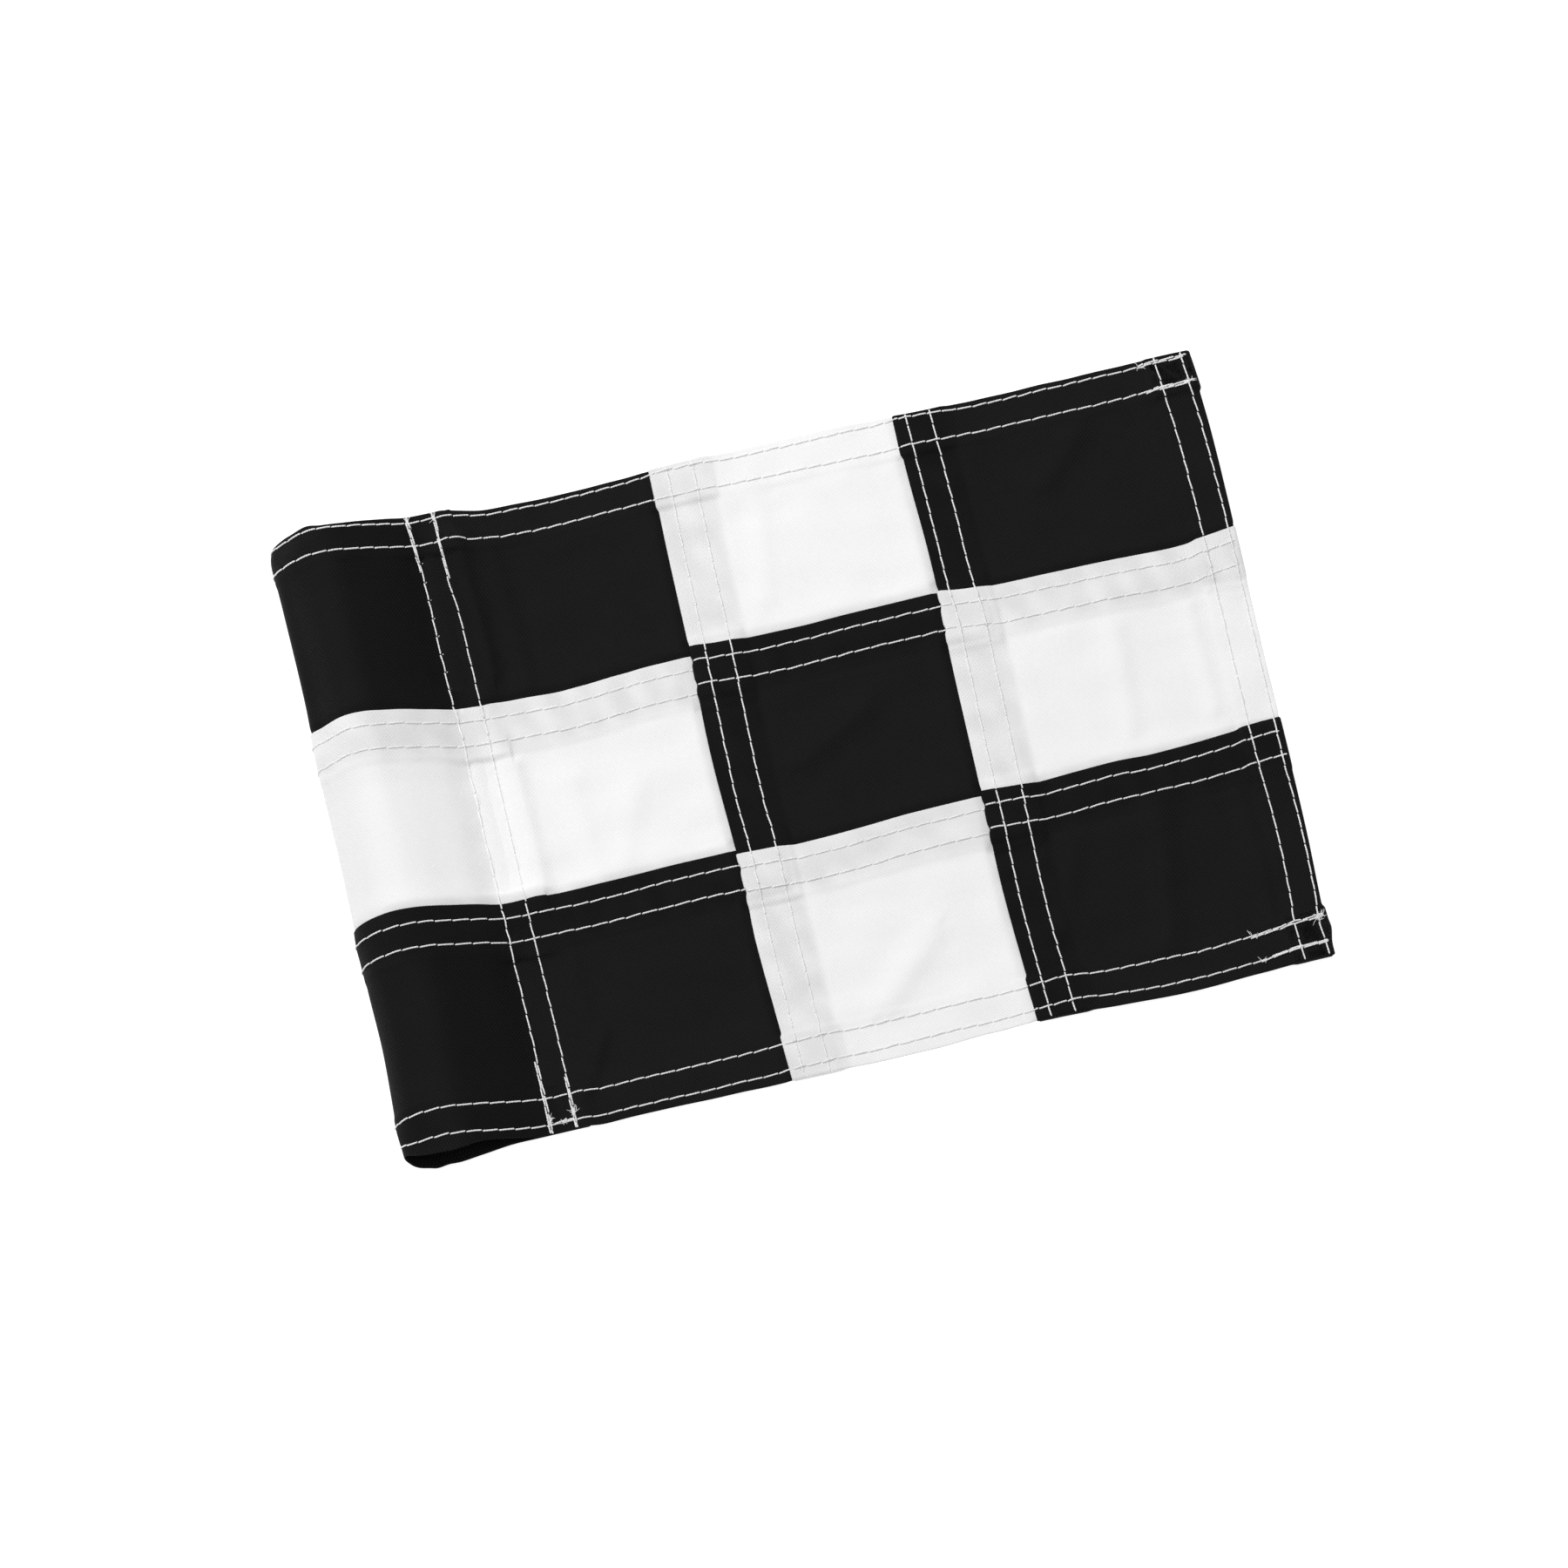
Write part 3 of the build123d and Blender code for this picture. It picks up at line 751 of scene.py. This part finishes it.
def needle_level(row, q, r, y):
    """Height of the face that a row's needle thread lies on, over the middle surface."""
    column = row.column
    if column is None:
        column_of = np.searchsorted(COLUMN_FOLDS, q, side="right")
    else:
        column_of = np.full(q.shape, column)
    height = CLOTH / 2 + 0 * q
    for number in range(3):
        here = column_of == number
        rows_of = np.searchsorted(ROW_FOLDS[number], r)
        up = np.zeros(q.shape)
        for panel_row in range(3):
            up = np.where(rows_of == panel_row, level_r(number, panel_row, r), up)
        stacked = level_q(number, q) * thick_q(y) + up * thick_r(q, r)
        height = height + np.where(here, stacked, 0)
    return height


def bobbin_level(row, q, r, y):
    """The same for the bobbin thread, as a depth under the middle surface."""
    laps = np.zeros(q.shape)
    for fold in ROW_FOLDS[row.column if row.column is not None else 1]:
        laps = laps + band(r, fold - LAP, fold, 0.9)
    columns = np.minimum(column_zone(q), 1)
    rows = np.minimum(laps + hem_zone(r), 1)
    return CLOTH / 2 + columns * thick_q(y) + rows * thick_r(q, r)


def row_line(row, along, side, drift):
    """Points and normals along a row, on the cloth's face, with a sideways drift."""
    across = row.at + drift
    q, r = (across, along) if row.upright else (along, across)
    q, r = np.broadcast_arrays(q, r)
    if side == "bobbin" and row.name.startswith("sleeve"):
        q = -(q + BACK_SHIFT)
    if row.column is not None:
        column = np.full(q.shape, row.column)
    else:
        column = np.searchsorted(COLUMN_FOLDS, q, side="right")
    point = np.zeros(q.shape + (3,))
    normal = np.zeros(q.shape + (3,))
    for number in range(3):
        here = column == number
        if here.any():
            found = surface(number, q[here], r[here])
            point[here] = found[0]
            normal[here] = found[1]
    y = point[..., 1]
    if side == "needle" or row.name.startswith("sleeve"):
        return point + needle_level(row, q, r, y)[..., None] * normal, normal
    return point - bobbin_level(row, q, r, y)[..., None] * normal, -normal


def stitches(row, side, start, end, drift=0.0, lift=0.0, phase=0.0, crossings=()):
    """Twisted two-ply stitches from hole to hole between two places along a row."""
    first = math.ceil((start - row.phase - phase) / row.pitch)
    holes = row.phase + phase + row.pitch * np.arange(first, first + int((end - start) / row.pitch) + 2)
    holes = holes[(holes > start) & (holes < end)]
    holes = np.concatenate([[start], holes, [end]])
    holes = holes[np.concatenate([[True], np.diff(holes) > SHORTEST_STITCH])]
    count = len(holes) - 1
    points = 13
    even = np.linspace(0, 1, points)[None, :]
    x = 0.65 * even + 0.175 * (1 - np.cos(math.pi * even))
    low = holes[:-1, None] + HOLE_GAP
    span = np.diff(holes)[:, None] - 2 * HOLE_GAP
    along = low + span * x
    slant = random.normal(-0.15 if row.upright else 0.18, 0.05, (count, 1))
    bow = random.normal(0, 0.04, (count, 1))
    sideways = drift + slant * (x - 0.5) + bow * np.sin(math.pi * x)
    centre, normal = row_line(row, along, side, sideways)
    rise = PLY_RADIUS * (0.9 - 3.3 * np.abs(2 * x - 1) ** 16) + lift + random.normal(0, 0.015, (count, 1))
    for crossing in crossings:
        rise = rise + CROSSING_RISE * np.exp(-((along - crossing) / 0.7) ** 2)
    centre = centre + rise[..., None] * normal
    tangent = unit(np.gradient(centre, axis=1))
    side_way = unit(np.cross(normal, tangent))
    twist = math.tau * (along - low) / TWIST + random.uniform(0, math.tau, (count, 1))
    lines = []
    for half_turn in (0, math.pi):
        angle = (twist + half_turn)[..., None]
        lines.append(centre + PLY_OFFSET * (np.cos(angle) * normal + np.sin(angle) * side_way))
    radii = np.full((2 * count, points), PLY_RADIUS) * (1 - 0.35 * np.abs(2 * x - 1) ** 12)
    return tubes(np.concatenate(lines), radii, np.concatenate([normal, normal]))


def fibres(row, along, spread_out, count, reach):
    """Frayed ends of a thread cut off at a place on its row."""
    points = 9
    x = np.linspace(0, 1, points)[None, :]
    heading = random.normal(0, spread_out, (count, 1)) + random.choice([0, math.pi], (count, 1), p=[0.7, 0.3])
    root = along + random.uniform(-0.5, 0.5, (count, 1))
    beside = random.uniform(-0.3, 0.3, (count, 1))
    size = reach * random.uniform(0.45, 1.0, (count, 1))
    curl = random.normal(0, 1.1, (count, 1))
    course = heading + curl * x
    step = size / (points - 1)
    forward = np.cumsum(step * np.cos(course), 1)
    sideways = np.cumsum(step * np.sin(course), 1)
    centre, normal = row_line(row, root + forward, "needle", beside + sideways)
    rise = FIBRE_RISE * (0.3 + random.uniform(0.3, 1.3, (count, 1)) * np.sin(math.pi * 0.75 * x))
    centre = centre + (rise + PLY_RADIUS)[..., None] * normal
    radii = np.broadcast_to(FIBRE_RADIUS * (1 - 0.55 * x), (count, points))
    return tubes(centre, radii, normal)


def thread_piece(name, parts, material):
    points, faces, uvs = [], [], []
    total = 0
    for part_points, part_faces, part_uv in parts:
        points.append(part_points)
        faces.append(part_faces + total)
        uvs.append(part_uv)
        total += len(part_points)
    faces = np.concatenate(faces)
    return new_mesh(name, np.concatenate(points), faces, np.concatenate(uvs)[faces.ravel()], "yarn", material)


def row_span(row, side):
    """Where a row starts and ends, as far as the cloth over it lets it show."""
    tail = -(SLEEVE_END + BACK_SHIFT)
    if row.upright:
        if side == "bobbin" and not row.name.startswith("sleeve"):
            return BOTTOM_HEM + 0.3, TOP_HEM - 0.3
        return 0.1, HEIGHT - 0.1
    if row.column is None:
        return tail + 0.3, LENGTH - 0.2
    if side == "needle":
        starts = (tail + 0.3, COLUMN_FOLDS[0] - 0.12, COLUMN_FOLDS[1] - 0.12)
        ends = (COLUMN_FOLDS[0] + 1.2, COLUMN_FOLDS[1] + 1.2, LENGTH - 0.2)
    else:
        starts = (tail + 0.3, COLUMN_FOLDS[0] + LAP + 0.4, COLUMN_FOLDS[1] + LAP + 0.4)
        ends = (COLUMN_FOLDS[0] + LAP - 0.4, COLUMN_FOLDS[1] + LAP - 0.4, FLY_HEM - 0.3)
    return starts[row.column], ends[row.column]


def earlier_crossings(number):
    """Places along a row where it crosses a row sewn before it."""
    row = STITCH_ROWS[number]
    return [other.at for other in STITCH_ROWS[:number] if other.upright != row.upright]


# Rows sewn a second time at their ends: from, to, and how far beside the first
BACKTACKS = {
    "top_hem_row_1": ((206.0, LENGTH - 0.3, 0.30),),
    "top_hem_row_2": ((206.0, LENGTH - 0.3, -0.35), (208.0, LENGTH - 0.6, 0.20)),
    "bottom_hem_row_1": ((200.5, LENGTH - 0.3, -0.20), (203.0, LENGTH - 0.5, 0.12), (34.6, 39.4, 0.20)),
    "bottom_hem_row_2": ((199.5, LENGTH - 0.3, -0.45),),
    "sleeve_seam_row_1": ((141.0, HEIGHT - 0.2, -0.45), (0.2, 19.0, -0.5)),
    "sleeve_seam_row_2": ((138.5, HEIGHT - 0.2, 0.4), (0.2, 13.5, -0.4)),
}
# Frayed ends: place on the row, spread of their directions, how many, and how long
FRAYS = {
    "sleeve_seam_row_1": ((HEIGHT - 1.2, 0.5, 9, 1.9), (3.6, 0.9, 22, 1.5)),
    "sleeve_seam_row_2": ((HEIGHT - 1.0, 0.6, 9, 2.0), (4.6, 0.8, 22, 1.6)),
    "fly_hem_row_1": ((8.0, 0.9, 14, 2.2),),
    "top_hem_row_1": ((206.2, 0.6, 6, 1.3),),
    "top_hem_row_2": ((LENGTH - 1.0, 0.8, 6, 1.5),),
    "bottom_hem_row_1": ((36.9, 0.8, 16, 1.2), (201.0, 0.7, 5, 1.3)),
    "bottom_hem_row_2": ((LENGTH - 1.0, 0.9, 8, 1.7), (200.0, 0.7, 8, 1.4)),
}


# Materials

def nodes_of(material):
    tree = material.node_tree
    shader = tree.nodes["Principled BSDF"]
    return tree, shader


def math_node(tree, operation, *inputs):
    node = tree.nodes.new("ShaderNodeMath")
    node.operation = operation
    for socket, value in zip(node.inputs, inputs):
        if isinstance(value, (int, float)):
            socket.default_value = value
        else:
            tree.links.new(value, socket)
    return node.outputs[0]


def noise(tree, vector, scale, detail):
    node = tree.nodes.new("ShaderNodeTexNoise")
    node.inputs["Scale"].default_value = scale
    node.inputs["Detail"].default_value = detail
    tree.links.new(vector, node.inputs["Vector"])
    return node.outputs["Fac"]


def mix_colour(tree, factor, first, second):
    node = tree.nodes.new("ShaderNodeMix")
    node.data_type = "RGBA"
    tree.links.new(factor, node.inputs[0])
    for socket, value in ((node.inputs[6], first), (node.inputs[7], second)):
        if isinstance(value, tuple):
            socket.default_value = value
        else:
            tree.links.new(value, socket)
    return node.outputs[2]


def grey(value, tint=0.0):
    return (value, value, value * (1 + tint), 1)


def bump(tree, shader, height, distance, strength):
    node = tree.nodes.new("ShaderNodeBump")
    node.inputs["Distance"].default_value = distance * MM
    node.inputs["Strength"].default_value = strength
    tree.links.new(height, node.inputs["Height"])
    tree.links.new(node.outputs["Normal"], shader.inputs["Normal"])


YARN = 0.42                 # width of one yarn of the weave


def weave_height(tree, u, v):
    """Plain weave: a dome over every crossing, the lengthwise yarns standing a little prouder."""
    wave_u = math_node(tree, "SINE", math_node(tree, "MULTIPLY", u, math.pi / YARN))
    wave_v = math_node(tree, "SINE", math_node(tree, "MULTIPLY", v, math.pi / YARN))
    product = math_node(tree, "MULTIPLY", wave_u, wave_v)
    dome = math_node(tree, "POWER", math_node(tree, "ABSOLUTE", product), 0.6)
    return math_node(tree, "ADD", math_node(tree, "MULTIPLY", dome, 0.36),
                     math_node(tree, "MULTIPLY_ADD", product, 0.32, 0.32))


def nylon(name, groove, crest, lined_and_shaded, tint, roughness, specular, depth):
    """Plain-woven nylon, darker in the weave's grooves as painted shade; its crest takes a darker colour
    where another colour lies under it and where shade is painted.
    """
    material = bpy.data.materials.new(name)
    material.use_nodes = True
    tree, shader = nodes_of(material)
    uv = tree.nodes.new("ShaderNodeUVMap")
    uv.uv_map = "cloth"
    split = tree.nodes.new("ShaderNodeSeparateXYZ")
    tree.links.new(uv.outputs[0], split.inputs[0])
    slub = noise(tree, uv.outputs[0], 0.22, 2)
    wander = math_node(tree, "MULTIPLY_ADD", slub, 0.5, -0.25)
    u = math_node(tree, "ADD", split.outputs[0], wander)
    v = math_node(tree, "ADD", split.outputs[1], wander)
    height = weave_height(tree, u, v)
    fuzz = noise(tree, uv.outputs[0], 4.5, 3)
    lining_and_shade_node = tree.nodes.new("ShaderNodeAttribute")
    lining_and_shade_node.attribute_name = "lining_and_shade"
    # The darker crest colour: on white cloth partly the black under a lap, otherwise painted shade.
    top = mix_colour(tree, lining_and_shade_node.outputs["Fac"], grey(crest, tint), grey(lined_and_shaded, tint))
    low_lined_and_shaded = grey(groove * lined_and_shaded / crest, tint)
    low = mix_colour(tree, lining_and_shade_node.outputs["Fac"], grey(groove, tint), low_lined_and_shaded)
    # Darker in the weave's grooves: painted shade between the yarns.
    woven = mix_colour(tree, height, low, top)
    cloudy = noise(tree, uv.outputs[0], 0.05, 2)
    shade = math_node(tree, "MULTIPLY", cloudy, 0.08)
    colour = mix_colour(tree, shade, woven, grey(groove))
    tree.links.new(colour, shader.inputs["Base Color"])
    rough = math_node(tree, "MULTIPLY_ADD", fuzz, 0.18, roughness - 0.09)
    tree.links.new(rough, shader.inputs["Roughness"])
    shader.inputs["Specular IOR Level"].default_value = specular
    relief = math_node(tree, "MULTIPLY_ADD", fuzz, 0.22, height)
    bump(tree, shader, relief, depth, 1.0)
    return material


def polyester_thread(name):
    material = bpy.data.materials.new(name)
    material.use_nodes = True
    tree, shader = nodes_of(material)
    uv = tree.nodes.new("ShaderNodeUVMap")
    uv.uv_map = "yarn"
    grain = noise(tree, uv.outputs[0], 9.0, 3)
    split = tree.nodes.new("ShaderNodeSeparateXYZ")
    tree.links.new(uv.outputs[0], split.inputs[0])
    slant = math_node(tree, "MULTIPLY_ADD", split.outputs[1], 22.0, math_node(
        tree, "MULTIPLY", split.outputs[0], 16.0))
    strands = math_node(tree, "MULTIPLY_ADD", math_node(tree, "SINE", slant), 0.5, 0.5)
    height = math_node(tree, "MULTIPLY_ADD", grain, 0.6, strands)
    # Darker between the twisted strands: painted shade.
    colour = mix_colour(tree, strands, grey(0.91), grey(0.97))
    tree.links.new(colour, shader.inputs["Base Color"])
    tree.links.new(math_node(tree, "MULTIPLY_ADD", grain, 0.2, 0.45), shader.inputs["Roughness"])
    shader.inputs["Sheen Weight"].default_value = 0.15
    bump(tree, shader, height, 0.03, 0.7)
    return material


# The black's darker lined colour is all painted shade, the white's partly; both groove colours are painted
# shade.
BLACK = nylon("black_nylon", groove=0.0002, crest=0.0206, lined_and_shaded=0.0145, tint=0.06,
              roughness=0.60, specular=0.05, depth=0.26)
WHITE = nylon("white_nylon", groove=0.83, crest=0.98, lined_and_shaded=0.81, tint=0.0,
              roughness=0.65, specular=0.35, depth=0.09)
THREAD = polyester_thread("white_thread")


# The pieces


for row_number, row_name in enumerate(ROWS):
    for column_number, column_name in enumerate(COLUMNS):
        black = (row_number + column_number) % 2 == 0
        node = f"{row_name}_{column_name}_panel_{'black' if black else 'white'}"
        piece = cloth_piece(f"{node}_cloth", column_number, row_number, BLACK if black else WHITE)
        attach(piece, "root")
        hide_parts(node)

for number, row in enumerate(STITCH_ROWS):
    for side in ("needle", "bobbin"):
        start, end = row_span(row, side)
        parts = [stitches(row, side, start, end, crossings=earlier_crossings(number))]
        if side == "needle":
            for low, high, drift in BACKTACKS.get(row.name, ()):
                parts.append(stitches(row, side, low, high, drift, BACKTACK_RISE, BACKTACK_PHASE))
            for place, spread_out, count, reach in FRAYS.get(row.name, ()):
                parts.append(fibres(row, place, spread_out, count, reach))
        node = f"{row.name}_{side}_thread"
        piece = thread_piece(f"{node}_stitches", parts, THREAD)
        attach(piece, "root")
        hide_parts(node)


# Floor, light and camera

def stage_plane(name, size, height, material):
    mesh = bpy.data.meshes.new(name)
    half = size / 2
    corners = [(-half, -half, height), (half, -half, height), (half, half, height), (-half, half, height)]
    mesh.from_pydata(corners, [], [(0, 1, 2, 3)])
    mesh.materials.append(material)
    plane = bpy.data.objects.new(name, mesh)
    bpy.context.collection.objects.link(plane)
    return plane


def floor_material():
    material = bpy.data.materials.new("pale_floor")
    material.use_nodes = True
    shader = material.node_tree.nodes["Principled BSDF"]
    shader.inputs["Base Color"].default_value = grey(0.5)
    shader.inputs["Roughness"].default_value = 0.8
    shader.inputs["Emission Color"].default_value = grey(1.0)
    shader.inputs["Emission Strength"].default_value = 0.85
    return material


def area_light(name, place, size, power):
    lamp = bpy.data.lights.new(name, "AREA")
    lamp.shape = "DISK"
    lamp.size = size
    lamp.energy = power
    holder = bpy.data.objects.new(name, lamp)
    holder.location = place
    holder.rotation_euler = (-Vector(place)).to_track_quat("-Z", "Y").to_euler()
    bpy.context.collection.objects.link(holder)


stage_plane("floor", 40.0, -0.0002, floor_material())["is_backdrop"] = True
area_light("key", (-0.32, 0.50, 0.80), 0.6, 5.2)
area_light("fill", (0.15, -0.1, 1.5), 1.2, 2.6)

world = bpy.data.worlds.new("studio")
world.use_nodes = True
world.node_tree.nodes["Background"].inputs["Color"].default_value = grey(1.0)
world.node_tree.nodes["Background"].inputs["Strength"].default_value = 0.525
scene = bpy.context.scene
scene.world = world
scene.view_settings.view_transform = "Standard"

ELEVATION = math.radians(68)
ROLL = math.radians(13.1)   # the flag's length rises to the right by this in the picture
DISTANCE = 6.0
FRAME_WIDTH = 0.36          # width of the picture at the flag
AIM = Vector((103.4 * MM - LENGTH * MM / 2, 71.8 * MM - HEIGHT * MM / 2, 1.1 * MM))
camera_data = bpy.data.cameras.new("camera")
camera_data.sensor_width = 36.0
camera_data.lens = camera_data.sensor_width * DISTANCE / FRAME_WIDTH
camera_data.clip_end = 50.0
camera = bpy.data.objects.new("camera", camera_data)
bpy.context.collection.objects.link(camera)
away = Vector((0, -math.cos(ELEVATION), math.sin(ELEVATION)))
tilt = Matrix.Rotation(math.pi / 2 - ELEVATION, 4, "X") @ Matrix.Rotation(-ROLL, 4, "Z")
camera.matrix_world = Matrix.Translation(AIM + away * DISTANCE) @ tilt
scene.camera = camera

low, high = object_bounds()
